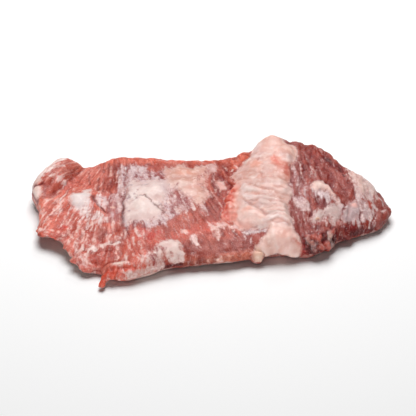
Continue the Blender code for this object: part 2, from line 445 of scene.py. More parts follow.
# Lighter and darker lumps everywhere, and a thin membrane that is thickest at the left end.
calm = 1 - 0.7 * smooth_step(x, 60, 66)
tint(lean, 0.35 * calm * smooth_step(lumps, 0.0, 0.6), "#dd8473")
tint(lean, 0.3 * calm * smooth_step(-lumps, 0.0, 0.6), "#94392f")
tint(film, smooth_step(-x, 70, 84), "#f1c0b5")
tint(film, smooth_step(x, 58, 64), "#cba39f")
veil += 0.11 + 0.10 * smooth_step(-x, 66, 90) - 0.07 * inside(FIBRE_ZONE, 4) - 0.09 * smooth_step(x, 60, 66)
veil += 0.10 * fresh_front
veil -= 0.05 * inside([(-140, 20), (-112, 20), (-104, -10), (-112, -24), (-140, -24)], 5)
veil -= 0.1 * inside([(2, 58), (28, 58), (20, 22), (14, -12), (-4, -14), (-4, 12)], 4)
veil *= 1 - 0.8 * smooth_step(y, 54, 61)


# ------------------------------------------------------------
# The strap: a thick band of back fat left on the muscle, pale pink and waxy, which runs over it
# from the back edge to the front and hangs down there. It is wrinkled across its length.


def lay_fat(outline, thickness, shoulder, colour, stray=1.0, fray=1.0, plump=0.5, melt=1.0):
    """Lay solid fat inside an outline, full height a shoulder's width in.

    plump rounds its shoulder up steeply; melt is how softly its edge passes into the lean.
    """
    depth = depth_in(outline, stray, fray)
    share = np.clip(depth / shoulder, 0, 1)
    profile = plump * np.sqrt(1 - (1 - share) ** 2) + (1 - plump) * smooth_step(share, 0, 1)
    rise[:] += thickness * profile * shown
    tint(wax, smooth_step(depth, -3, 0) * shown, colour)
    fat[:] = np.where(shown > 0.02, np.maximum(fat, depth / melt), fat)
    veil[:] = np.maximum(veil, 0.6 * smooth_step(depth, -2.5, 0) * shown)
    return depth


def cut(points, depth, width, code, stray=0.6, share=1.0):
    """Cut a narrow groove along a line and darken what lies in it, partly as the darker flesh in it and
    partly as painted shade.
    """
    mark = line(points, width, stray)
    rise[:] -= depth * mark
    for paint in (lean, film, wax):
        tint(paint, share * smooth_step(mark, 0.0, 0.8), code)


def fold(points, depth, width, code="#dc9f90", share=0.45):
    """Fold the skin along a line: a soft lip on its left side hangs over a crease."""
    curve = rounded(points, closed=False)
    near, places = drawn_near(curve, width + 3, 1.3, 0)
    gap, side = distance_to(curve, places)
    run_out = smooth_step(np.minimum(places[:, 0] - curve[0, 0], curve[-1, 0] - places[:, 0]), -3, 3)
    t = np.clip(gap / width, 0, 1)
    lip = np.where(side > 0, 6.75 * t * (1 - t) ** 2, -0.8 * t * (1 - t) ** 2)
    crease = np.clip(1 - gap / 1.6, 0, 1)
    rise[near] += 0.5 * depth * (lip - 0.7 * crease) * run_out * shown[near]
    # Painted shade in the crease and a painted highlight on the lip.
    mark = np.zeros(count)
    mark[near] = crease * run_out
    tint(wax, share * mark, code)
    mark[near] = 4 * t * (1 - t) * (side > 0) * run_out
    tint(wax, 0.35 * share * mark, "#f4dbd3")


STRAP = [
    (34, 78), (34, 64), (32, 54), (27, 50), (24, 44), (18, 39), (18, 33), (20, 27), (19, 22), (15, 19),
    (13, 13), (11, 8), (11, 1), (9, -5), (8, -11), (11, -15), (17, -16), (20, -22), (25, -27), (31, -28),
    (37, -29), (43, -32), (39, -38), (34, -43), (38, -52), (52, -56), (67, -52), (69, -44), (66, -36),
    (62, -28), (63, -22), (61, -14), (60, -8), (60, -3), (63, 4), (64, 10), (62, 16), (64, 24), (64, 32),
    (67, 40), (70, 50), (67, 60), (61, 62), (57, 72), (46, 82),
]
strap = lay_fat(STRAP, 1.9, 7.0, "#e6c0b7", stray=0.9, fray=0.0, plump=0.35)
on_strap = smooth_step(strap, 0, 4)
tint(wax, 0.9 * on_strap * smooth_step(y, 42, 58), "#e6b1a5")
for outline, soft, share, code in (
    ([(18, 42), (34, 50), (40, 36), (34, 24), (22, 24)], 5, 0.8, "#e9b8ae"),
    ([(21, 20), (40, 20), (42, 2), (30, -2), (22, 8)], 5, 0.7, "#e6cdc8"),
    # This darker band is painted shade along the fold from (40, 25) to (62, 19).
    ([(38, 26), (62, 24), (62, 17), (38, 18)], 3, 0.95, "#d59f92"),
    ([(46, 15), (62, 15), (60, 6), (48, 8)], 3, 0.6, "#ead0ca"),
    ([(40, -12), (60, -6), (62, -28), (42, -26)], 4, 0.6, "#e8ccc4"),
):
    tint(wax, share * inside(outline, soft), code)
for centre, radii, turn, share, code in (
    ((37, 38), (5, 6), 0, 0.7, "#ea9f8b"), ((46, 34), (8, 10), 0, 0.6, "#f3cabe"),
    ((62, 52), (9, 12), 20, 0.9, "#edbcab"), ((63, 44), (4, 5), 0, 0.8, "#d2b0ad"),
    ((65, 36), (5, 6), 0, 0.9, "#d6988e"),
):
    tint(wax, share * spot(centre, radii, turn), code)

# Its left edge is stained with blood: coral lumps that fade into the pale fat behind them.
stained = smooth_step(-x, -27, -19) * smooth_step(y, -19, -13) * smooth_step(-y, -26, -20)
tint(wax, 0.9 * stained, "#f0ab9b")
fringe = stained * smooth_step(-strap, -8.5, -5)
tint(wax, fringe, "#d95c4a")
fringe_lumps = cloud(at, 4.5, 35, 2)
# The deeper red between the lumps is the blood stain and painted shade; their pale tops are a painted
# highlight.
tint(wax, 0.9 * fringe * smooth_step(-fringe_lumps, 0.0, 0.6), "#bf4334")
tint(wax, 0.9 * fringe * smooth_step(fringe_lumps, 0.4, 0.9), "#f0a192")
rise += 1.3 * fringe_lumps * stained * smooth_step(strap, -1, 1)
tint(lean, inside([(12, -12), (2, -15), (-6, -22), (-2, -27), (6, -20), (14, -17)], 2), "#de5f4c")
tint(lean, 0.8 * line([(21, 24), (14, 18), (10, 8), (8, -8)], 3, 1.2), "#d8584a")

# Fine wrinkles, swells and clots all over it.
wrinkle_place = np.column_stack([x * 0.94 - y * 0.34, y * 0.94 + x * 0.34])
wrinkles = cloud(wrinkle_place, (15, 4.2), 30, 2)
swells = cloud(at, 14, 32)
clots = cloud(at, (5, 4, 5), 33, 3)
rise += (0.5 * swells + 0.85 * wrinkles * smooth_step(y, -30, -16) * smooth_step(-y, -48, -30)) * on_strap
rise += 0.35 * clots * on_strap
clean = on_strap * (1 - 0.9 * stained)
# Painted shade in the wrinkles' hollows, and a painted highlight on their ridges and on the clots.
tint(wax, 0.45 * smooth_step(-wrinkles, 0.1, 0.8) * clean, "#d99f90")
tint(wax, 0.45 * smooth_step(wrinkles, 0.1, 0.8) * clean, "#f4ddd5")
tint(wax, 0.5 * smooth_step(clots, 0.1, 0.6) * clean, "#efdcd7")
tint(wax, 0.5 * smooth_step(cloud(at, 6, 34, 3), 0.1, 0.6) * clean, "#f0ac9a")
tint(wax, 0.4 * smooth_step(cloud(at, 7, 36, 3), 0.1, 0.6) * clean, "#cfa9a8")

# Deep folds across it, each with painted shade along its crease, and the cracks in its left half.
for crease, depth, width in (
    ([(22, 28), (28, 25), (34, 19)], 0.6, 5), ([(40, 25), (45, 21), (52, 21), (62, 19)], 0.9, 6),
    ([(30, 19), (37, 12), (45, 8), (52, 5), (61, 3)], 1.0, 6),
    ([(24, 7), (29, 1), (35, -2), (45, -1)], 0.6, 5),
    ([(36, 5), (44, 3), (52, 0)], 0.5, 4), ([(42, -4), (51, -5), (61, -8)], 0.8, 5),
    ([(39, -8), (47, -10), (58, -11)], 0.6, 4), ([(44, -14), (52, -15), (61, -18)], 0.6, 4),
    ([(46, -20), (54, -20), (62, -23)], 0.6, 4), ([(43, -27), (52, -25), (62, -29)], 0.8, 4),
    ([(40, -34), (50, -33), (64, -37)], 0.5, 4), ([(20, 35), (28, 33), (37, 30)], 0.5, 5),
    ([(33, 45), (44, 43), (53, 47)], 0.4, 5), ([(50, 12), (56, 10), (63, 10)], 0.5, 4),
):
    fold(crease, 1.4 * depth, width)
    tint(wax, 0.5 * line(crease, 0.5 * width, 1.0), "#d6a398")
cut([(28, 0), (31, -4), (34, -7)], 0.4, 1.1, "#b58f8c", 0.9, 0.7)
cut([(31, -4), (35, -9), (38, -13), (43, -19)], 0.9, 2.4, "#c39a96", 0.7, 0.6)
cut([(35, -9), (38, -13), (43, -19)], 0.4, 1.0, "#a87f7e", 0.7, 0.8)
cut([(32, -1), (36, -3)], 0.3, 1.2, "#b58f8c", 0.9, 0.6)
cut([(24, -27), (30, -27), (36, -27)], 0.4, 1.0, "#b48b8b", 0.6, 0.7)
cut([(61, 61), (58, 54), (57, 48), (60, 43)], 0.3, 2.5, "#d79c8d", 1.4, 0.4)
cut([(46, -25), (50, -28), (56, -27), (60, -30)], 0.5, 1.2, "#c79d95", 0.9, 0.6)

# The bulge at its left, and its foot, which hangs over the front edge in soft lumps.
bulge = spot((30, -16), (14, 11), -35)
rise += 2.0 * bulge
# A painted highlight on the bulge's top.
tint(wax, 1.2 * bulge, "#f9d3c9")
tint(wax, 0.9 * spot((30, -11), (6, 5), -30), "#f2b7a8")
tint(wax, 0.8 * line([(17, -10), (20, -20), (30, -26)], 5), "#efafa2")
foot = smooth_step(-y, 28, 33) * on_strap
foot_lumps = cloud(at, 6, 37, 2)
tint(wax, 0.8 * foot, "#fad2c7")
tint(wax, 0.7 * smooth_step(-y, 43, 49) * on_strap, "#eab7a9")
# A painted highlight at the foot's lower left.
tint(wax, 0.9 * spot((45, -40), (9, 5), -25), "#fbd8cd")
tint(wax, 0.8 * spot((57, -38), (9, 5), -20), "#edb0a2")
tint(wax, 0.8 * spot((60, -48), (9, 4)), "#e2ac9e")
rise += 1.4 * spot((50, -40), (18, 10)) + 1.1 * foot_lumps * foot
# Painted highlight on the foot's lumps and painted shade between them.
tint(wax, 0.4 * smooth_step(foot_lumps, 0.1, 0.7) * foot, "#fbe0d8")
tint(wax, 0.4 * smooth_step(-foot_lumps, 0.1, 0.7) * foot, "#e6a99a")

# A red stain on its right half, paler and greyer places, painted shade along its right edge, blood
# under its right front corner, and painted shadow under the foot.
for points, width, code in (
    ([(50, 40), (55, 35), (60, 30)], 7, "#e8a797"), ([(51, 38), (56, 34), (61, 27)], 4.5, "#d8705c"),
    ([(53, 35), (57, 31), (60, 29)], 3.4, "#bb4a3b"), ([(50, 42), (53, 37), (54, 33)], 2.4, "#dc7663"),
    ([(59, 34), (62, 28), (62, 22)], 3, "#cf7a6e"),
):
    tint(wax, line(points, width, 2.2), code)
# Painted shade along its right edge, where it drops to the lean.
tint(wax, 0.4 * line([(63, 26), (62, 8), (60, -8), (61, -22)], 3, 1), "#d6ada4")
tint(wax, 0.7 * spot((43, -1), (9, 6)), "#d6b9b3")
tint(wax, 0.8 * spot((43, -8), (8, 6)), "#d2b6b0")
tint(wax, 0.5 * on_strap * smooth_step(y, 46, 60), "#e6b1a4")
tint(wax, 0.6 * line([(61, -10), (59, -20), (61, -28)], 5, 1), "#efd0c9")
tint(wax, 1.3 * spot((69.5, -46), (3.5, 8)), "#b5362c")
tint(lean, 1.5 * spot((71, -45), (5, 9)), "#c9453a")
veil -= 0.3 * spot((71, -45), (5, 9))
# Painted shadow under the foot: its low front face and the lean below it are darkened.
tint(wax, smooth_step(-z, -6, -3) * front_wall * smooth_step(x, 36, 42), "#8e5a52")
shadow_under_foot = smooth_step(-z, -7, -4) * front_wall * smooth_step(x, 36, 42) * smooth_step(-x, -72, -66)
tint(lean, shadow_under_foot, "#3c1816")

# The small tab of fat that sticks out from under the foot's left corner.
lay_fat([(32, -46), (35, -44), (38, -47), (38, -54), (34, -56), (32, -51)], 0.5, 3, "#e8bfa9", 0.6, 0.0)
tint(wax, line([(31.5, -45), (31.5, -54)], 3), "#b87a68")

# Last touches: small stains and paler places, and the dark lean beside its left edge.
tint(wax, 0.8 * line([(62, -39), (66, -41), (68, -43)], 1.4, 1), "#cc6e61")
tint(wax, 0.9 * spot((39, 43), (2, 2)), "#c07a74")
tint(wax, 0.25 * inside([(42, 30), (60, 28), (60, -14), (44, -14)], 4), "#d9b0a6")
tint(wax, 0.55 * inside([(28, 36), (54, 33), (52, 30), (30, 24)], 3), "#d6a79b")
for centre, radii, code in (
    ((60, 47), (5, 5), "#d09a8f"), ((37, 16), (7, 5), "#d3a99f"), ((38, 64), (7, 10), "#f2dad5"),
    ((23, 20), (5, 4), "#f0bcb2"), ((46, -18), (6, 4), "#cba79e"), ((37, -8), (5, 4), "#c39f99"),
    ((40, -28), (6, 3), "#e2ceca"), ((61, 10), (3, 7), "#efd0c9"), ((35, -54), (5, 3), "#a06a58"),
    ((18, 14), (4, 4), "#cc5a4c"), ((18, -4), (4, 5), "#d67767"), ((13, -7), (4, 6), "#c95a4c"),
    ((10, 6), (4, 6), "#a8463a"),
):
    tint(wax, 0.85 * spot(centre, radii), code)
tint(lean, spot((10, 5), (4, 8)), "#a8463a")
veil -= 0.15 * spot((10, 5), (4, 8))
tint(wax, 0.8 * spot((42, -46), (4, 4)), "#b0705f")
tint(wax, 0.6 * spot((55, 28), (6, 6)), "#dc8f80")
tint(wax, 0.6 * spot((45, -42), (6, 6)), "#cc9384")
tint(wax, 0.5 * spot((59, -40), (6, 6)), "#f6d3c9")


# ------------------------------------------------------------
# The middle sheet: white fat and silverskin that cover the muscle's middle. It ends on the left in
# a sharp step, is whitest there, turns peach towards the right, and has torn windows of lean.

string_break = cloud(grain, (2.2, 5, 4), 9, 2)


def lay_veil(outline, level, soft=2.0, colour=None, stray=1.0, fray=1.5):
    """Lay a thin membrane inside an outline; level is how much of the lean it hides."""
    depth = depth_in(outline, stray, fray)
    veil[:] = np.maximum(veil, 1.15 * level * smooth_step(depth, -1.5 * soft, 1.5 * soft) * shown)
    if colour:
        tint(film, smooth_step(depth, -soft - 2, 0) * shown, colour)


def draw_strings(lines, width, level, colour=None, stray=0.9):
    """Draw strings of membrane along lines."""
    for points in lines:
        mark = smooth_step(line(points, width, stray) + 0.35 * string_break, 0.15, 0.9)
        veil[:] = np.maximum(veil, 1.1 * level * mark)
        if colour:
            tint(film, mark, colour)


SILVER = [
    (-66, 54), (-58, 56), (-51, 54), (-50, 47), (-40, 46), (-36, 42), (-35, 30), (-22, 22), (-16, 10),
    (-15, -2), (-24, -10), (-29, -18), (-36, -22), (-44, -25), (-52, -22), (-58, -20), (-66, -17),
]
SHEET = [
    (-65.5, 14), (-65, 26), (-63, 35), (-57, 34), (-52, 31), (-45, 34), (-38, 32), (-35, 37), (-37, 44),
    (-36, 49), (-33, 50), (-28, 49), (-25, 55), (-20, 57), (-17, 54), (-14, 50), (-11, 53), (-6, 53),
    (-1, 53), (0, 46), (-2, 38), (-3, 30), (-1, 22), (2, 19), (2, 14), (-2, 12), (-4, 6), (-7, 1),
    (-11, 3), (-14, 8), (-18, 12), (-22, 16), (-29, 20), (-32, 15), (-34, 8), (-37, 2), (-36, -6),
    (-38, -14), (-44, -20), (-50, -18), (-57, -16), (-65, -14), (-66.5, 0),
]
lay_veil(SILVER, 0.76, 2.5, "#d9bebf", stray=1.6, fray=2.4)
tint(lean, 0.8 * inside(SILVER, 3), "#a8696c")
sheet = lay_fat(SHEET, 1.1, 6.0, "#e3c6c0", stray=1.5, fray=1.6, plump=0.3, melt=2.6)
on_sheet = smooth_step(sheet, 0, 3)

# Its white left half and its peach right half, each with lighter and darker places.
white_half = inside([
    (-66, 14), (-62, 30), (-50, 30), (-40, 28), (-37, 18), (-38, 4), (-45, -8), (-56, -14), (-66, -13),
], 5)
peach_half = inside([
    (-36, 49), (-22, 57), (-2, 55), (-2, 30), (3, 15), (-8, 1), (-18, 12), (-27, 22), (-34, 34),
], 4)
tint(wax, white_half, "#ebd3cd")
tint(wax, 0.7 * spot((-45, 22), (10, 7)), "#eed6d0")
tint(wax, 0.8 * spot((-60, 10), (6, 9)), "#f3e4e0")
tint(wax, 0.9 * spot((-41, 9), (8, 6)), "#cba59e")
tint(wax, 0.6 * line([(-38, 30), (-35, 20), (-33, 10)], 5), "#cdb0b1")
tint(wax, peach_half, "#d29b8c")
tint(wax, 0.7 * spot((-20, 42), (10, 7), 20), "#e59b85")
tint(wax, 0.6 * smooth_step(cloud(at, 5, 44, 3), 0.0, 0.6) * peach_half, "#ecc9be")
tint(wax, 0.7 * spot((-9, 28), (6, 7)), "#d7978b")
tint(wax, 0.7 * spot((-14, 15), (8, 6)), "#e4b9ae")
tint(wax, 0.7 * spot((-21, 25), (8, 6)), "#d8b0a5")
tint(wax, 0.9 * line([(-31, 50), (-24, 55), (-18, 54), (-12, 52), (-2, 53)], 3, 0.7), "#e6b8ab")
tint(wax, 0.8 * spot((-1, 16), (4, 4)), "#e8b6aa")
swell = cloud(at, 10, 41, 2)
rise += 0.7 * swell * on_sheet
tint(lean, 0.7 * inside([(-58, -24), (-44, -26), (-40, -34), (-52, -38), (-60, -32)], 3), "#d8574d")
# Painted highlight on the swells and painted shade between them.
tint(wax, 0.3 * smooth_step(swell, 0.1, 0.8) * on_sheet, "#f6e2db")
tint(wax, 0.3 * smooth_step(-swell, 0.1, 0.8) * on_sheet, "#c9a29e")
pinholes = smooth_step(cloud(at, (2.6, 2.6, 4), 42, 2), 0.35, 0.7) * smooth_step(cloud(at, 11, 43), 0.0, 0.6)
fat -= 3.5 * pinholes * on_sheet

# Windows torn in it, the strings left across them, and dry cracks in its white half.
for window, width, strength in (
    ([(-58, 45), (-56, 40), (-54, 36)], 2.6, 0.6), ([(-48, 45), (-46, 40), (-43, 41)], 4.0, 0.9),
    ([(-40, 43), (-38, 38), (-39, 33)], 4.0, 0.8), ([(-50, 57), (-46, 54)], 3.0, 0.8),
    ([(-30, 15), (-28, 10)], 4.0, 0.8), ([(-25, 16), (-24, 8), (-26, -2)], 4.5, 0.8),
    ([(-29, 2), (-28, -7)], 4.0, 0.8), ([(-20, 8), (-18, 0)], 4.0, 0.8), ([(-34, 0), (-33, -5)], 3.0, 0.6),
    ([(-57, -15), (-58, -22)], 2.4, 0.8), ([(-51, -18), (-50, -23)], 2.4, 0.8),
    ([(-44, -14), (-45, -20)], 2.4, 0.6), ([(-37, -16), (-38, -22)], 2.4, 0.7),
    ([(-37, -4), (-36, -10)], 2.0, 0.6),
):
    gap = smooth_step(line(window, width, 1.3), 0.0, 0.8)
    veil *= 1 - 0.75 * strength * gap
    rise -= 0.5 * strength * gap
    fat = np.minimum(fat, 6 - 9 * strength * gap)
    tint(lean, 0.8 * gap, "#9c5457")
draw_strings((
    [(-23, 16), (-21, 6), (-17, -6)], [(-28, 12), (-26, 2), (-25, -6)], [(-16, 8), (-12, -4)],
    [(-7, 2), (-3, -8)], [(-33, -2), (-31, -12)], [(-21, 0), (-18, -10)],
), 1.8, 0.85)
CRACK = [(-54, 12), (-50, 11), (-48, 8), (-45, 4), (-43, -1), (-39, -5), (-35, -9)]
cut(CRACK, 0.8, 1.0, "#7b5556", 1.2, 0.9)
cut([(-41, -2), (-38, 0), (-36, -3)], 0.4, 0.9, "#8d6668", 1.2, 0.7)
cut([(-64, 17), (-62, 13), (-63, 9)], 0.4, 0.9, "#8d6668", 1.2, 0.7)
cut([(-58, 11), (-56, 8)], 0.4, 0.9, "#9d7878", 1.2, 0.6)
tint(film, 0.7 * inside([(-32, 22), (-14, 16), (-11, -2), (-24, -6), (-31, 4)], 4), "#cd9f9a")

# Its left edge stands a little proud of a narrow valley, purple at the back and grey at the front;
# the valley's darker purple is partly painted shade.
tint(lean, 1.2 * line([(-69, 54), (-69, 36), (-68, 20), (-67, 10)], 4.5, 1.2), "#9d6068")
lay_veil([(-74, 54), (-68, 55), (-67, 30), (-67, 16), (-71, 16), (-73, 36)], 0.75, 1.5, "#d6babb", 1.5, 3.0)
rise -= 1.0 * line([(-68.5, 50), (-68, 30), (-67.5, 8), (-67.5, -4), (-67, -18)], 3.4, 0.8)
lay_veil([(-72, 12), (-68.5, 12), (-68, -2), (-71, -2)], 0.9, 1.2, "#d3bdbd", 0.8, 0.5)
cut([(-67.5, 9), (-67.4, 2), (-67, -6), (-66, -14)], 0.6, 1.3, "#74585f", 0.8, 0.9)
cut([(-64, -19), (-63, -24), (-61, -28)], 0.5, 1.2, "#743a3b", 0.8, 0.8)
rise += 0.7 * line([(-64.5, 16), (-64.5, 2), (-64, -11)], 3.0)
tint(wax, 0.7 * spot((-15, 23), (6, 6)), "#dda296")


# ------------------------------------------------------------
# The left end: the muscle's ragged head, marbled right through, with one smooth white pillow of
# fat, torn membrane beside it, and the rolled lobe at the back whose cut end shows its fat.

# The pillow, and the wedge of white membrane that runs from it towards the front.
PILLOW = [
    (-110, 13), (-109, 18), (-105, 20.5), (-100, 21), (-99, 25), (-96.5, 26.5), (-94, 25), (-93.5, 20),
    (-94, 15), (-95, 11), (-97, 6), (-101, 4), (-105, 5), (-108, 9),
]
WEDGE = [
    (-95, 12), (-92, 6), (-90, 1), (-84, -1), (-80, -6), (-80, -14), (-86, -13), (-92, -9), (-97, -4),
    (-104, -1), (-107, 6),
]
lay_veil(WEDGE, 0.95, 3.0, "#ead5d2", stray=1.6, fray=3.5)
pillow = lay_fat(PILLOW, 1.2, 5, "#e4d1ce", stray=1.1, fray=0.5, plump=0.5, melt=1.4)
rise += 0.8 * lumps * smooth_step(pillow, 0, 3)
tint(wax, 0.8 * spot((-96, 22), (3.5, 4)), "#f0cfc6")
tint(wax, 0.8 * spot((-104, 17), (5, 3)), "#f0e2df")
draw_strings((
    [(-97, -3), (-101, -14)], [(-92, -8), (-93, -20)], [(-86, -10), (-87, -22)],
    [(-82, -12), (-84, -20)], [(-89, 4), (-91, -6)],
), 1.8, 0.7, "#e6c6c0")

# Thin membrane from the pillow to the sheet, with a deep groove along the pillow's right side.
lay_veil([(-90, 17), (-84, 18), (-80, 15), (-79, 8), (-81, 1), (-86, 4), (-89, 9)], 0.8, 1.5, "#e2caca")
tint(lean, 0.9 * inside([(-80, 16), (-70, 16), (-70, -12), (-78, -12)], 2), "#ae6a6b")
lay_veil([(-80, 16), (-71, 16), (-70, 4), (-72, -8), (-78, -6)], 0.45, 2, "#d6b1b0", 1.5)
lay_veil([(-75, 16), (-70, 16), (-70, 8), (-74, 8)], 0.8, 1.5, "#d0a9a8")
lay_fat([(-77, 3.5), (-73.5, 2.5), (-73.5, 0.5), (-76.5, 1)], 0.5, 1.5, "#f3c7b6", 0.3, 0.0)
bare_notch = spot((-91, 14), (3.5, 5))
tint(lean, 1.3 * bare_notch, "#9c453c")
veil *= 1 - 0.8 * bare_notch
cut([(-93, 17), (-90, 13), (-87, 7), (-84, 3), (-81, -2)], 0.9, 1.1, "#7c3c3c", 0.6, 0.9)
cut([(-86, 16), (-84, 14)], 0.4, 1.3, "#9d6a6c", 0.9, 0.9)

# The marbling: strings of fat and membrane between the bundles, middling, bold and fine.
draw_strings((
    [(-110, 30), (-115, 18), (-119, 8), (-122, 0)], [(-130, 14), (-127, 10), (-129, 5)],
    [(-131, 3), (-129, -4)], [(-126, -7), (-128, -16)], [(-130, -19), (-124, -23), (-116, -25)],
    [(-122, -12), (-126, -19)],
    [(-104, 2), (-108, -8), (-110, -14)], [(-109, -19), (-106, -27), (-102, -31)], [(-102, -27), (-98, -40)],
    [(-96, -19), (-94, -29), (-92, -38)], [(-87, -25), (-88, -36)], [(-76, -27), (-77, -38)],
    [(-73, -22), (-71, -34)], [(-91, -42), (-92, -50), (-90, -58)], [(-79, -43), (-79, -50), (-77, -57)],
    [(-69, -43), (-68, -57)], [(-119, 24), (-124, 14)], [(-105, -42), (-101, -52)], [(-66, -26), (-68, -38)],
), 2.0, 0.62, "#eebdb0")
draw_strings((
    [(-130, -18), (-124, -20.5), (-115, -22.5), (-109, -27)], [(-90, -13), (-90, -24)],
    [(-97, -19), (-95, -30), (-95, -40), (-96, -50)], [(-100, -16), (-100, -24)],
    [(-114, 12), (-119, 4), (-123, -3)],
), 3.0, 0.72, "#f2c8bd")
tint(lean, spot((-130, -5), (5, 6)), "#ea7e6e")
veil -= 0.15 * spot((-130, -5), (5, 6)) + 0.2 * spot((-70, -45), (4, 5))
draw_strings((
    [(-132, 8), (-128, -2), (-132, -12)], [(-120, 20), (-127, 10), (-131, 0)],
    [(-113, 10), (-119, -2), (-125, -10)], [(-106, 30), (-112, 18), (-116, 6)], [(-123, 18), (-130, 4)],
    [(-114, 2), (-119, -8), (-122, -12)],
    [(-101, 0), (-105, -12), (-108, -20)], [(-112, -10), (-116, -18)], [(-99, -24), (-101, -36), (-100, -46)],
    [(-94, -44), (-96, -56)], [(-85, -22), (-86, -34)], [(-106, -32), (-103, -42)],
    [(-118, 16), (-125, 4), (-127, -4)], [(-88, -26), (-90, -38)], [(-113, -28), (-108, -36)],
    [(-120, -2), (-124, -12)], [(-74, -14), (-73, -24)],
), 1.3, 0.6, "#eebdb0")

# The torn front corner: two blocks of lean under a seam of membrane, and a blood-red spot.
SEAM = [(-91, -38), (-84, -39), (-80, -37), (-70, -36), (-69, -40), (-80, -42), (-91, -43)]
lay_veil(SEAM, 0.8, 1.6, "#efd2ca", 1.8, 1.5)
lay_veil([(-96, -52), (-91, -50), (-89, -60), (-95, -61)], 0.6, 2, "#efc8bf")
bare_bundle = spot((-82, -25), (5, 12), 8)
tint(lean, 1.2 * bare_bundle, "#a4544b")
veil *= 1 - 0.5 * bare_bundle
tint(lean, 0.4 * spot((-110, -6), (7, 8)), "#c4645a")
veil += 0.1 * spot((-107, -8), (7, 6))
tint(lean, 1.3 * spot((-113, -17), (5, 4), 10), "#e4544b")
for block in (
    [(-89, -43), (-81, -43), (-81, -53), (-88, -54)], [(-78, -42), (-70, -42), (-70, -56), (-77, -56)],
):
    tint(lean, 0.9 * inside(block, 1.5), "#b5544a")
    veil *= 1 - 0.6 * inside(block, 1.5)
    rise += 0.9 * inside(block, 2)
rise += 0.7 * line([(-91, -40), (-80, -40), (-69, -38)], 3.5)

# The rolled edge that ends in the hanging strand.
TAIL_ROLL = [(-80, -66), (-77, -62.5), (-70, -61), (-62, -60.5)]
strand = smooth_step(-y, 62, 66)
rise += 1.6 * line(TAIL_ROLL, 3.4, 0.5)
tint(lean, line(TAIL_ROLL, 5, 0.5), "#e2705e")
tint(lean, strand, "#e06350")
veil *= 1 - 0.6 * strand
lay_fat([(-72, -59.5), (-63, -58.5), (-61, -61), (-68, -62)], 0.4, 1.5, "#f0cfc2", 0.6, 0.0)
cut([(-85, -61), (-80, -60), (-74, -58), (-66, -57.5)], 0.5, 1.4, "#b8584c", 0.9, 0.6)

# Upright fibres behind the pillow, parted by dark grooves.
for groove, depth in (
    ([(-77, 64), (-77.5, 50), (-76, 36)], 0.9), ([(-89, 42), (-88, 24)], 0.7),
    ([(-82, 60), (-82, 42), (-81, 26)], 0.6), ([(-73, 60), (-72, 44)], 0.6), ([(-86, 64), (-86, 48)], 0.5),
    ([(-79, 36), (-78, 20)], 0.6), ([(-97, 50), (-96, 34)], 0.5), ([(-84, 36), (-84, 22)], 0.5),
):
    cut(groove, 0.7 * depth, 1.2, "#84382f", 0.8, 0.6)
draw_strings((
    [(-80, 58), (-80, 44)], [(-86, 36), (-86, 24)], [(-75, 48), (-74, 34)], [(-91, 34), (-90, 24)],
    [(-88, 22), (-85, 19)], [(-92, 21), (-89, 23)], [(-82, 24), (-79, 19)],
), 1.2, 0.7, "#dfaa9e")
tint(lean, 0.6 * spot((-83, 50), (3, 8)), "#d4806f")

# The lobe: the muscle's thin back corner, rolled over so that its pale cut end faces left.
LOBE_CREASE = [(-101, 62), (-103, 52), (-108, 45), (-111, 37), (-116, 28), (-124, 19)]
tint(lean, 0.8 * inside([(-138, 44), (-124, 66), (-108, 64), (-112, 46), (-128, 34)], 4), "#cb6b5c")
rise -= 2.2 * line(LOBE_CREASE, 8, 0.8) ** 1.5
# Painted shade along the crease.
tint(lean, 0.7 * line([(-105, 50), (-108, 45), (-110, 38)], 5, 0.8), "#a5483d")
tint(lean, 0.4 * line([(-110, 38), (-116, 28), (-126, 18)], 4, 0.8), "#ad4f46")
tint(lean, 0.7 * inside([(-113, 64), (-100, 64), (-101, 48), (-108, 48)], 3), "#dc8878")
tint(lean, 0.8 * spot((-103, 58), (7, 7)), "#e88f7e")
pale_middle = spot((-116, 42), (5, 8), 25)
tint(lean, 0.8 * pale_middle, "#d88577")
veil += 0.12 * pale_middle
rise += 2.0 * spot((-120, 48), (16, 14), 40)
draw_strings((
    [(-140, 36), (-132, 40), (-124, 42), (-117, 46)], [(-138, 42), (-129, 50), (-124, 60), (-121, 67)],
    [(-139, 31), (-132, 34), (-124, 36)], [(-126, 46), (-120, 50)],
), 2.2, 0.75, "#f3cdc5")
LOBE_HAZE = [
    (-142, 30), (-134, 46), (-124, 60), (-114, 66), (-115, 59), (-119, 51), (-125, 43), (-128, 38),
    (-134, 31),
]
lay_veil(LOBE_HAZE, 0.9, 1.6, "#fae0da", 1.6, 3.0)
lay_veil([(-122, 32), (-120, 36), (-115, 36), (-114, 32), (-118, 28)], 0.85, 1.0, "#ecc8c2", 1.4)
red_foot = spot((-111, 29), (5, 6))
tint(lean, 0.7 * red_foot, "#c65c50")
veil -= 0.2 * red_foot
for outline, thickness, code in (
    ([(-139, 26), (-136, 27), (-133, 25.5), (-132.5, 21), (-134, 16), (-138, 18)], 0.8, "#f3d6cd"),
    ([(-141, 34), (-138, 35), (-133, 33), (-132, 30), (-136, 29.5), (-140, 30)], 0.6, "#eac6bd"),
):
    lay_fat(outline, thickness, 2, code, 0.8, 0.2)
CUT_FACE = [(-132, 29), (-121, 33), (-117, 26), (-124, 17), (-131, 14)]
tint(lean, 0.7 * inside(CUT_FACE, 2.5), "#c0655a")
veil -= 0.1 * inside(CUT_FACE, 3)
tint(lean, 0.9 * inside([(-132, 29), (-129, 28), (-128, 16), (-131, 14)], 1.5), "#a2524e")
cut([(-139, 29), (-135, 27.5), (-132, 28.5)], 0.6, 1.0, "#7a4244", 0.5, 0.9)
cut([(-141, 38), (-140.5, 28), (-137, 18), (-134, 13)], 0.5, 1.2, "#8c4444", 0.3, 0.8)

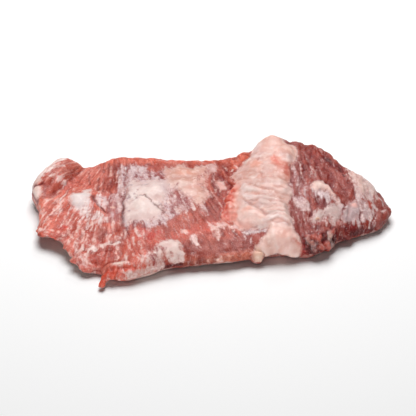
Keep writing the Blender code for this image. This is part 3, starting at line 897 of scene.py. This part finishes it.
# Places where the membrane is thicker or thinner than its clouds make it.
for centre, more in (
    ((-70, -16), 0.35), ((-110, -34), 0.35), ((-62, -36), 0.3), ((-124, -22), 0.25), ((-90, -33), 0.25),
    ((-52, 50), 0.25), ((-92, -3), -0.3), ((-120, -2), -0.25),
):
    veil += more * spot(centre, (7, 7))
tint(lean, 0.8 * spot((-77, -61), (9, 6)), "#e38f80")


# ------------------------------------------------------------
# The front: a trimmed edge with a rolled strip of lean, a white patch that laps over it, and a
# band of bright blood-red lean behind.

# The white patch, with torn holes in its left half, the waxed edge that runs on to its left, and
# painted shadow on the wall below it.
PATCH = [
    (-38, -44), (-34, -41), (-29, -40), (-24, -40), (-21, -43), (-20, -48), (-17, -53), (-19, -58),
    (-25, -56), (-31, -55), (-36, -58), (-43, -61), (-48, -62), (-46, -57), (-43, -52), (-41, -48),
]
lay_fat(PATCH, 0.9, 3.5, "#ebcfc8", stray=1.8, fray=1.6, plump=0.4, melt=2.0)
for hole, width in (
    ([(-43, -50), (-39, -53)], 3.5), ([(-36, -50), (-33, -52)], 2.8), ([(-44, -57), (-40, -58)], 3.0),
):
    gap = smooth_step(line(hole, width, 1.4), 0, 0.8)
    tint(lean, gap, "#a5666a")
    tint(wax, 0.4 * gap, "#c99b9b")
    fat = np.minimum(fat, 4.5 - 6 * gap)
tint(wax, 0.8 * spot((-31, -48), (5, 4)), "#d5a8a0")
pale_strip = smooth_step(-y, 50, 58) * smooth_step(x, -72, -66) * smooth_step(-x, 32, 40) * (wall + 0.3 * top)
pale_strip *= smooth_step(z, 1, 3) * smooth_step(-z, -12, -9)
veil = np.maximum(veil, (0.75 + 0.25 * lumps) * pale_strip * shown)
tint(film, pale_strip, "#e6c0b6")
waxed_edge = smooth_step(line([(-58, -69), (-51, -67), (-44, -63), (-36, -59)], 6, 2.5), 0.0, 0.5)
waxed_edge *= smooth_step(z, 3, 5) * smooth_step(-z, -12, -10) * shown
veil = np.maximum(veil, 1.05 * waxed_edge)
tint(film, 0.9 * waxed_edge, "#cfa49b")
rise += 0.8 * waxed_edge
# Painted shadow on the front wall under the patch: dark lean, and no fat or membrane there.
shadow_below_patch = smooth_step(x, -38, -32) * smooth_step(-x, 14, 18) * smooth_step(-z, -10, -7) * front_wall
tint(lean, shadow_below_patch, "#561c17")
fat = np.minimum(fat, 4.5 - 8 * shadow_below_patch)
veil -= 0.4 * shadow_below_patch
draw_strings((
    [(-62, -34), (-60, -46)], [(-56, -24), (-53, -34)], [(-50, -27), (-49, -36)], [(-57, -52), (-50, -60)],
    [(-64, -52), (-58, -62)], [(-53, -40), (-50, -48)], [(-64, -24), (-63, -32)], [(-58, -34), (-57, -42)],
), 2.0, 0.8, "#e9c0b6")

# The blood-red band, and the browner lean in front of it.
tint(lean, 0.9 * line([(-34, -42), (-24, -34), (-12, -26), (-4, -20), (6, -16)], 8, 2), "#d96a5b")
tint(lean, 0.8 * line([(-44, -48), (-38, -42), (-28, -38)], 5, 2), "#d8665a")
tint(lean, 1.2 * spot((-44, -35), (4, 8), -20), "#c7463f")
tint(lean, 1.1 * spot((-38, -30), (4, 3)), "#c94a42")
tint(lean, inside([(-18, -40), (14, -34), (36, -32), (36, -46), (-16, -54)], 4), "#a65850")
veil -= 0.12 * inside([(-18, -38), (14, -32), (36, -30), (36, -46), (-16, -54)], 4)

# The fan of membrane beside the strap, and scraps of fat and string around it.
FAN = [
    (0, -17), (8, -16), (18, -17), (21, -22), (18, -24), (14, -22), (10, -24), (9, -33), (5, -33), (2, -26),
]
lay_veil(FAN, 0.9, 2, "#e4b4aa", 1.3, 2.5)
tint(lean, 0.8 * inside([(24, -28), (40, -30), (38, -40), (28, -42)], 2), "#a25c58")
lay_veil([(24, -28), (34, -28.5), (42, -30), (42, -33), (34, -31), (26, -31)], 1.0, 1.0, "#d2b6b6", 0.6, 0.6)
draw_strings(([(24, -29), (27, -37)], [(33, -31), (31, -38)], [(-6, 4), (-1, -8)]), 1.6, 0.8, "#d3aeac")
lay_veil([(-14, -31), (-11, -31), (-9, -36), (-10, -43), (-13, -42), (-14, -36)], 0.9, 1.2, "#ecc8c1", 1.4)
lay_fat([(-21, -27), (-17, -27), (-17, -29.5), (-20, -29.5)], 0.4, 1.5, "#f2bfb2", 0.8, 0.0)
lay_fat([(-1, 57), (3, 58), (5, 52), (4, 46), (1, 44), (-1, 49)], 1.0, 3, "#c99892", 0.8, 0.2)
lay_fat([(5, 34), (8, 33), (11, 30), (11, 24), (8, 20), (6, 25)], 0.6, 3, "#dba096", 1.2, 0.6)
draw_strings((
    [(4, 44), (2, 30), (4, 22)], [(12, 50), (15, 44), (18, 46)], [(16, 42), (17, 36)], [(7, 6), (9, 0)],
    [(2, 40), (4, 34)], [(20, 50), (24, 46)],
), 1.4, 0.75, "#dba99c")
for gap in (
    [(3, 44), (3, 32), (6, 16)], [(12, 48), (14, 34), (16, 22)], [(-3, 4), (2, -8)], [(8, -20), (10, -31)],
    [(17, -25), (19, -32)], [(0, 22), (2, 10)], [(8, 44), (10, 34)],
):
    cut(gap, 0.5, 1.6, "#8a3a33", 1.2, 0.8)

# The rolled lip along the edge, with a painted highlight along its top, and painted shade on the
# wall below it.
LIP = [(-18, -55), (-6, -54), (8, -52), (20, -49), (31, -47)]
lip = line(LIP, 3.6, 1.2) * (0.5 + 0.5 * smooth_step(x, -14, 16))
shade_below_lip = smooth_step(x, -19, -14) * smooth_step(-x, -34, -29)
rise += 1.5 * lip
# Painted shade on the wall below the lip.
tint(lean, shade_below_lip * smooth_step(-facing[:, 1], 0.1, 0.5) * smooth_step(-z, -11, -7.5), "#6f3a35")
veil -= 0.25 * shade_below_lip * smooth_step(-z, -9, -6) * front_wall
tint(lean, lip, "#d47c66")
cut([(-14, -50), (0, -48.5), (12, -46), (26, -43)], 0.4, 2.6, "#8a4038", 1.0, 0.35)
# A painted highlight along the lip's top edge, drawn as strings of pale membrane.
draw_strings(([(-2, -53), (9, -51.2), (18, -49)], [(20, -48), (27, -46)]), 1.1, 0.6, "#e2a08c", 0.6)
veil += 0.35 * spot((-49, -29), (7, 7)) + 0.3 * spot((32, -44), (6, 4)) - 0.35 * spot((5, -26), (7, 6))
tint(lean, 0.6 * spot((5, -52), (8, 5)), "#a05a4e")


# ------------------------------------------------------------
# The right end: darker lean, older and drier, with torn patches of fat and membrane on it and a
# knotted rim at the front.

# The arch of fat in its middle, which holds a window of dark lean, and the grey knob beside it.
ARCH_CAP = [
    (79, 13), (79, 18), (82, 22), (88, 22), (92, 19), (95, 14), (97, 8), (94, 8), (91, 13), (86, 13),
    (82, 11),
]
ARCH_BODY = [
    (93, 14), (98, 6), (102, 1), (103, -5), (102, -11), (98, -15), (95, -20), (92, -17), (90, -13),
    (86, -18), (80, -19), (77, -16), (78, -11), (83, -9), (88, -8), (90, -4), (94, -1), (97, 1), (94, 6),
]
ARCH_LIMB = [(92, 17), (97, 8), (102, 0), (103, -6)]
KNOB = [
    (101, -3), (104, 2), (108, 4), (113, 4.5), (116, 1), (115, -5), (112, -10), (108, -14), (103, -15),
    (101, -10),
]
ARCH_FILM = [(81, 13), (92, 13), (93, 6), (92, 0), (89, 4), (87, 8), (85, 3), (82, 6)]
lay_veil(ARCH_FILM, 0.95, 1.5, "#d8bfbf", 0.8)
lay_fat(ARCH_BODY, 1.2, 4, "#cbaea9", stray=1.4, fray=1.6, plump=0.5, melt=1.8)
lay_fat(ARCH_CAP, 1.8, 4, "#ebc3b8", stray=0.7, fray=0.2, plump=0.7)
tint(wax, 0.9 * spot((84, 17), (4, 3)), "#f0d2c8")
rise += 1.2 * line(ARCH_LIMB, 3)
tint(wax, 1.0 * line(ARCH_LIMB, 2.6, 0.5), "#dfb0a4")
tint(wax, spot((82, -17), (3, 2)), "#dfa783")
tint(lean, 0.8 * inside([(81, 8), (91, 6), (92, -4), (84, -6)], 2), "#8f5558")
lay_fat(KNOB, 1.6, 5, "#b89a9a", stray=0.7, fray=0.4, plump=0.6)
tint(wax, 1.3 * spot((111, 1), (4.5, 3.5)), "#e0a59b")
cut([(107, 3), (107, -6), (105, -12)], 0.7, 1.6, "#9c7c7e", 0.7, 0.5)

# The pink patch behind the tip.
TIP_PATCH = [
    (108, 36), (110, 41), (114, 38), (123, 31), (130, 27), (131, 20), (128, 13), (124, 9), (120, 8),
    (116, 11), (113.5, 17), (112, 25), (109.5, 31),
]
TIP_FAT = [(109, 37), (113, 37), (119, 31), (123, 24), (121, 14), (116, 12), (114.5, 22), (112, 30)]
lay_veil(TIP_PATCH, 0.85, 2.0, "#e3c3bb", 1.4, 3.0)
lay_fat(TIP_FAT, 0.8, 4, "#d6aea3", 1.6, 3.2, 0.3, 3.2)
tint(wax, 0.9 * spot((111, 34), (4, 7)), "#cf958a")
tint(wax, 0.7 * smooth_step(cloud(at, (3, 6, 5), 47, 2), 0.0, 0.5) * inside(TIP_PATCH), "#c08e88")
tint(wax, 0.8 * line([(113, 24), (115, 16), (117, 11)], 3, 1), "#c0908c")

# Thin membrane and strings between the strap and the arch, and from the knob to the tip.
lay_veil([(63, -4), (64, 4), (69, 5), (74, 3), (77, -4), (75, -9), (69, -8)], 0.9, 2, "#d0aaa6", 1.3, 1.5)
lay_veil([(64, 26), (68, 26), (76, 18), (76, 6), (66, 4)], 0.42, 3, "#c9a2a3", 1.2)
draw_strings((
    [(71.5, 26), (71.5, 41)], [(67, 34), (66, 22)], [(69, 20), (70, 6)], [(79, 26), (80, 38)],
    [(82, 25), (84, 35)], [(73, 16), (74, 4)], [(75, -8), (74, -20)], [(67, -12), (69, -26)],
    [(71, -12), (72, -24)], [(70, -26), (74, -36)], [(86, 40), (88, 30)], [(80, -20), (79, -30)],
    [(88, -18), (87, -28)], [(64, 20), (64, 8)],
), 1.5, 0.6)
TIP_VEIL = [(113, 6), (121, 6), (125, -5), (123, -12), (116, -14), (109, -15), (110, -11), (114, -9)]
lay_veil(TIP_VEIL, 0.88, 2, "#c3a3a2", 1.3, 3)
draw_strings((
    [(114, 12), (116, 0), (117, -11)], [(117, 12), (122, 2), (126, -8)], [(124, 16), (126, 6), (127, -5)],
    [(122, 0), (125, -7)], [(115, 20), (116, 8)], [(121, 18), (124, 8)], [(132, 16), (136, 7)],
    [(133, 2), (137, 4)], [(124, 12), (129, 2)],
), 2.2, 0.9, "#cfb0ad")
for gap, width in (
    ([(111, 22), (113, 12)], 1.8), ([(77, 12), (77.5, -2), (76, -14)], 1.2), ([(63, 34), (64, 18)], 1.4),
    ([(83, 6), (83, -1)], 1.8), ([(88, 3), (89, -3)], 1.8), ([(101, 4), (104, -2)], 1.3),
    ([(116, -4), (114, -12)], 1.3), ([(104, 2), (102, -8)], 1.0), ([(74, 46), (74, 30)], 1.2),
):
    cut(gap, 0.5, width, "#742f30", 1.0, 0.8)
    veil *= 1 - 0.6 * line(gap, width, 1.0)
tint(lean, spot((106, 31), (2, 3)), "#501c1e")
veil *= 1 - spot((106, 31), (3, 4))

# The tip itself.
TIP = [(124, 22), (142, 12), (138, -6), (126, -10)]
tint(lean, 0.8 * inside(TIP, 3), "#a86661")
veil += 0.1 * inside(TIP, 3)
tint(lean, 1.2 * spot((123, 4), (5, 5)), "#c2564a")
tint(wax, 0.8 * spot((122, 6), (5, 4)), "#cf7468")

# The front rim: torn knots of lean with two scraps of fat. The dips between the knots get painted
# shade and their tops a painted highlight.
RIM = [(74, -39), (80, -37), (90, -32), (98, -25), (110, -16), (122, -11)]
rim = np.minimum(1, 1.6 * line(RIM, 7, 1.5))
rim *= 1 - 0.75 * smooth_step(x, 92, 101)
rim_knots = cloud(at, 4.6, 46, 2)
rim_dip_shade = rim * smooth_step(-rim_knots, -0.2, 0.5)
# Painted shadow in the hollow under the middle of the rim.
tint(lean, 0.8 * spot((103, -23), (9, 5), 30), "#5f2224")
rise += 2.6 * rim * (0.2 + rim_knots)
# Painted shade in the dips and a painted highlight on the knots' tops.
tint(lean, 0.9 * rim_dip_shade, "#521c1c")
tint(lean, 0.85 * rim * smooth_step(rim_knots, 0.0, 0.6), "#c96a5f")
veil -= 0.12 * rim_dip_shade
lay_fat([(73, -38.5), (76, -37.5), (78, -38), (77, -40), (74, -40)], 0.5, 1.5, "#d98b7c", 1.0, 0.2)
lay_fat([(88, -30), (91, -29.5), (92, -31.5), (89, -32.5)], 0.5, 1.5, "#edbfae", 0.6, 0.0)


# ------------------------------------------------------------
# The whole skin: bundles of fibre stand out on the bare lean, the trimmed edges are ragged, dents
# get painted shade and what stands out a painted highlight, and the underside is lean marbled with
# fat under the thin sheath it grew in.

BUNDLE_SIZE = (4.0, 16, 7)  # mm across, along and through
THREAD_SIZE = (1.6, 6, 4)
TEAR_SIZE = (5, 5, 9)  # mm along x, y and z
TAG_SIZE = (2.5, 2.5, 6)

bare = (1 - smooth_step(fat, -0.6, 1.5)) * (1 - 0.4 * veil)
bundles = cloud(grain, BUNDLE_SIZE, 51, 3)
threads = cloud(grain, THREAD_SIZE, 55)
rise += (0.45 * bundles + 0.16 * threads) * bare * (0.4 + 0.6 * top)
knots = np.abs(cloud(at, 10, 60, 2))
rise += (0.8 * cloud(at, 17, 53) + 0.9 * (knots - 0.4) * bare) * (1 - 0.7 * on_strap) * shown
rise += (0.6 * cloud(at, 7, 52) + 0.3 * cloud(at, 3, 56)) * wall
ragged_ends = smooth_step(-x, 62, 72) * smooth_step(-y, -8, 24) + smooth_step(x, 66, 74)
ragged_ends *= wall + 0.3 * top * bare
rise += (1.5 * cloud(at, TEAR_SIZE, 58) + 0.9 * cloud(at, TAG_SIZE, 61)) * ragged_ends
spiked = smooth_step(x, 60, 68) * smooth_step(-x, -112, -104) * smooth_step(y, 40, 50) * wall
spiked *= 0.3 + 0.7 * smooth_step(cloud(at, 12, 63), -0.3, 0.5)
rise += 3.2 * spiked * (np.abs(cloud(at, TEAR_SIZE, 62, 3)) - 0.25)
# Lighter on the bundles and darker between them: the lean's own tone, and painted light and shade on their
# relief.
tint(lean, 0.3 * smooth_step(bundles, 0.0, 0.8), "#e08876")
tint(lean, 0.3 * smooth_step(-bundles, 0.0, 0.8), "#93392f")

# Painted shade in the dents and a painted highlight on what stands out: the lean, fat and film
# are darker where the skin lies below its surroundings and paler where it stands above them.
nearby = rise
for _ in range(6):
    nearby = average(nearby)
wide = nearby
for _ in range(24):
    wide = average(wide)
cavity_shade = np.clip(0.9 * (nearby - rise) + 0.5 * (wide - rise), -1, 1)
for paint, shade_share, code in ((lean, 0.45, "#7c2c26"), (wax, 0.35, "#cf8f80"), (film, 0.35, "#a87878")):
    tint(paint, shade_share * np.clip(cavity_shade, 0, 1), code)
for paint, code in ((lean, "#f0a695"), (wax, "#fdeae4")):
    tint(paint, 0.2 * np.clip(-cavity_shade, 0, 1), code)

# The underside.
sheath = cloud(at, (22, 14, 14), 71, 3)
below = smooth_step(under, 0.2, 0.8)
tint(lean, 0.7 * below, "#b3594e")
tint(film, below, "#dcb9b2")
tint(wax, below, "#e6c4ba")
veil = np.where(below > 0.5, 0.32 + 0.5 * smooth_step(sheath, -0.1, 0.5), veil)
fat = np.where(below > 0.5, 5 * (cloud(at, (26, 12, 14), 72, 3) - 0.35), fat)
rise += 0.5 * cloud(at, 9, 73, 2) * below

at += facing * rise[:, None]
at[:, 2] = np.maximum(at[:, 2], 0)
normals()


# ------------------------------------------------------------
# Raw pork: wet lean under a thin film of its own juice, with waxy fat and grey-white silverskin.
# The lean shows long fibres in several reds and a fine wet speckle, while the fat is nearly plain.
# Both let a little light in, and the juice gives small sharp glints over a soft shine.

LEAN_SHINE = 0.035  # what the wet skin's shine adds to each colour
FAT_SHINE = 0.02


def add(tree, kind, links=None, **settings):
    """Add a node. links feeds its inputs from sockets or sets them; settings are its own."""
    node = tree.nodes.new(kind)
    for name, value in settings.items():
        setattr(node, name, value)
    for key, value in (links or {}).items():
        if isinstance(value, bpy.types.NodeSocket):
            tree.links.new(value, node.inputs[key])
        else:
            node.inputs[key].default_value = value
    return node


def albedo(paint, shine):
    """A paint's linear colour, less the shine that the wet skin adds to it."""
    return np.clip((0.84 + 1.7 * shine) * to_linear(np.clip(paint, 0, 1)) - shine, 0.002, 1)


def layer(under, over, pattern, window, shares, kind="MIX"):
    """Lay a colour over another; its share eases from one value to the next across a window."""
    links = {0: pattern, 1: window[0], 2: window[1], 3: shares[0], 4: shares[1]}
    share = add(tree, "ShaderNodeMapRange", links, interpolation_type="SMOOTHSTEP").outputs[0]
    links = {0: share, 6: under, 7: over}
    return add(tree, "ShaderNodeMix", links, data_type="RGBA", blend_type=kind).outputs[2]


def pile_up(total, *terms):
    """Add patterns to a number, each of them times its own weight."""
    for pattern, weight in terms:
        links = {0: pattern, 1: weight, 2: total}
        total = add(tree, "ShaderNodeMath", links, operation="MULTIPLY_ADD").outputs[0]
    return total


pork = bpy.data.materials.new("raw pork")
pork.use_nodes = True
tree = pork.node_tree
shader = tree.nodes["Principled BSDF"]

# What was worked out above is stored on the skin's points, and read by the material.
stored = {}
for name, values in (
    ("fat", fat), ("veil", np.clip(veil, 0, 1.15)), ("grain", grain), ("lean", albedo(lean, LEAN_SHINE)),
    ("film", albedo(film, FAT_SHINE)), ("wax", albedo(wax, FAT_SHINE)),
):
    single = values.ndim == 1
    attribute = skin.attributes.new(name, "FLOAT" if single else "FLOAT_VECTOR", "POINT")
    attribute.data.foreach_set("value" if single else "vector", values.astype(np.float32).ravel())
    reader = add(tree, "ShaderNodeAttribute", attribute_name=name)
    stored[name] = reader.outputs["Fac" if single else "Vector"]

# Patterns, with the width of their lumps in mm: across, along and through the fibres, or the same
# all ways. The finest are drawn coarser than the real ones, which would be too fine to show.
skin_place = add(tree, "ShaderNodeTexCoord").outputs["Object"]
links = {0: skin_place, 1: (1 / MM,) * 3}
skin_place = add(tree, "ShaderNodeVectorMath", links, operation="MULTIPLY").outputs[0]
pattern = {}
for name, place, size, detail, roughness in (
    ("fibre", stored["grain"], (0.9, 4.5, 3), 3, 0.6),
    ("coarse fibre", stored["grain"], (2.2, 10, 5), 3, 0.6),
    ("fleck", stored["grain"], (0.8, 2.6, 2), 1, 0.5),
    ("tear", stored["grain"], (1.1, 6, 4), 3, 0.65),
    ("marbling", stored["grain"], (2.7, 15, 8), 4, 0.6),
    ("grit", skin_place, (0.8, 0.8, 0.8), 2, 0.7),
    ("fat edge", skin_place, (1.6, 1.6, 1.6), 3, 0.6),
    ("film cloud", skin_place, (2.4, 2.4, 2.4), 4, 0.65),
    ("soft spot", skin_place, (3.5, 3.5, 3.5), 3, 0.5),
    ("dimple", skin_place, (4, 4, 4), 4, 0.6),
    ("gloss", skin_place, (4, 4, 4), 2, 0.5),
):
    links = {0: place, 1: tuple(1 / s for s in size)}
    scaled = add(tree, "ShaderNodeVectorMath", links, operation="MULTIPLY").outputs[0]
    links = {"Vector": scaled, "Scale": 1.0, "Detail": detail, "Roughness": roughness}
    pattern[name] = add(tree, "ShaderNodeTexNoise", links).outputs["Fac"]

# Lean: darker between fibres and bundles, with a pale and dark speckle and thin dark fissures.
membrane = layer(stored["film"], linear("#f7e6e2"), pattern["film cloud"], (0.45, 0.65), (0, 0.4))
gap = add(tree, "ShaderNodeMath", {0: pattern["coarse fibre"], 1: 0.45}, operation="SUBTRACT").outputs[0]
gap = add(tree, "ShaderNodeMath", {0: gap}, operation="ABSOLUTE").outputs[0]
flesh = stored["lean"]
for marks, window, shares, colour, kind in (
    (pattern["fibre"], (0.32, 0.5), (0.45, 0), linear("#c8897c"), "MULTIPLY"),
    (pattern["coarse fibre"], (0.36, 0.5), (0.3, 0), linear("#c8897c"), "MULTIPLY"),
    (pattern["grit"], (0.3, 0.46), (0.65, 0), linear("#bf7d70"), "MULTIPLY"),
    (pattern["grit"], (0.54, 0.72), (0, 0.35), membrane, "MIX"),
    (pattern["fleck"], (0.68, 0.76), (0, 0.55), membrane, "MIX"),
    (gap, (0.002, 0.02), (0.45, 0), linear("#a8665a"), "MULTIPLY"),
):
    flesh = layer(flesh, colour, marks, window, shares, kind)

# Silverskin over it, torn along the fibres: its level swings by so much with each pattern.
swings = {"tear": 1.1, "marbling": 2.3, "film cloud": 0.9}
cover = pile_up(stored["veil"], *((pattern[name], swing) for name, swing in swings.items()))
middle = sum(swings.values()) / 2
flesh = layer(flesh, membrane, cover, (middle + 0.08, middle + 1.15), (0, 0.97))

# Solid fat, whose edge with the lean is uneven, with white and pink places in it.
EDGE_SWING = 4.0  # mm
waxy = stored["wax"]
waxy = layer(waxy, linear("#fbeae4"), pattern["soft spot"], (0.52, 0.72), (0, 0.25))
waxy = layer(waxy, linear("#cf9186"), pattern["soft spot"], (0.3, 0.46), (0.22, 0))
depth = pile_up(stored["fat"], (pattern["fat edge"], EDGE_SWING))
window = {1: EDGE_SWING / 2 - 0.8, 2: EDGE_SWING / 2 + 1.8}
fat_share = add(tree, "ShaderNodeMapRange", {0: depth, **window}, interpolation_type="SMOOTHSTEP").outputs[0]
links = {0: fat_share, 6: flesh, 7: waxy}
colour = add(tree, "ShaderNodeMix", links, data_type="RGBA").outputs[2]
tree.links.new(colour, shader.inputs["Base Color"])

# Wet flesh, rougher and smoother by places, under a thin glossy film of juice.
links = {0: pattern["gloss"], 1: 0.35, 2: 0.65, 3: 0.4, 4: 0.6}
gloss = add(tree, "ShaderNodeMapRange", links, interpolation_type="SMOOTHSTEP").outputs[0]
tree.links.new(gloss, shader.inputs["Roughness"])
for name, value in (
    ("IOR", 1.36), ("Subsurface Weight", 0.15), ("Subsurface Radius", (1.0, 0.45, 0.3)),
    ("Subsurface Scale", 1.2 * MM), ("Coat Weight", 0.3), ("Coat Roughness", 0.1), ("Coat IOR", 1.34),
):
    shader.inputs[name].default_value = value

# Fibres show on the lean but hardly on the fat; the juice evens out the finest of them.
meaty = pile_up(1.0, (fat_share, -0.9))
fibres = pile_up(0.0, (pattern["fibre"], 0.6), (pattern["coarse fibre"], 1.3))
for ridges, grit_share, strength, distance, socket in (
    (fibres, 0.5, 0.8, 0.6, "Normal"), (pattern["coarse fibre"], 0.4, 0.7, 0.8, "Coat Normal"),
):
    height = pile_up(pattern["dimple"], (ridges, meaty), (pattern["grit"], grit_share))
    links = {"Height": height, "Strength": strength, "Distance": distance * MM}
    tree.links.new(add(tree, "ShaderNodeBump", links).outputs[0], shader.inputs[socket])

skin.materials.clear()
skin.materials.append(pork)
skin.shade_smooth()
meat = bpy.data.objects.new("meat", skin)
bpy.context.scene.collection.objects.link(meat)
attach(meat, "root")
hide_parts("pork_secreto")

# The front light only opens the shadows on the meat's near side; the table keeps its dark ones.
fill_group = bpy.data.collections.new("fill_group")
fill_group.objects.link(meat)
front_light.light_linking.receiver_collection = fill_group
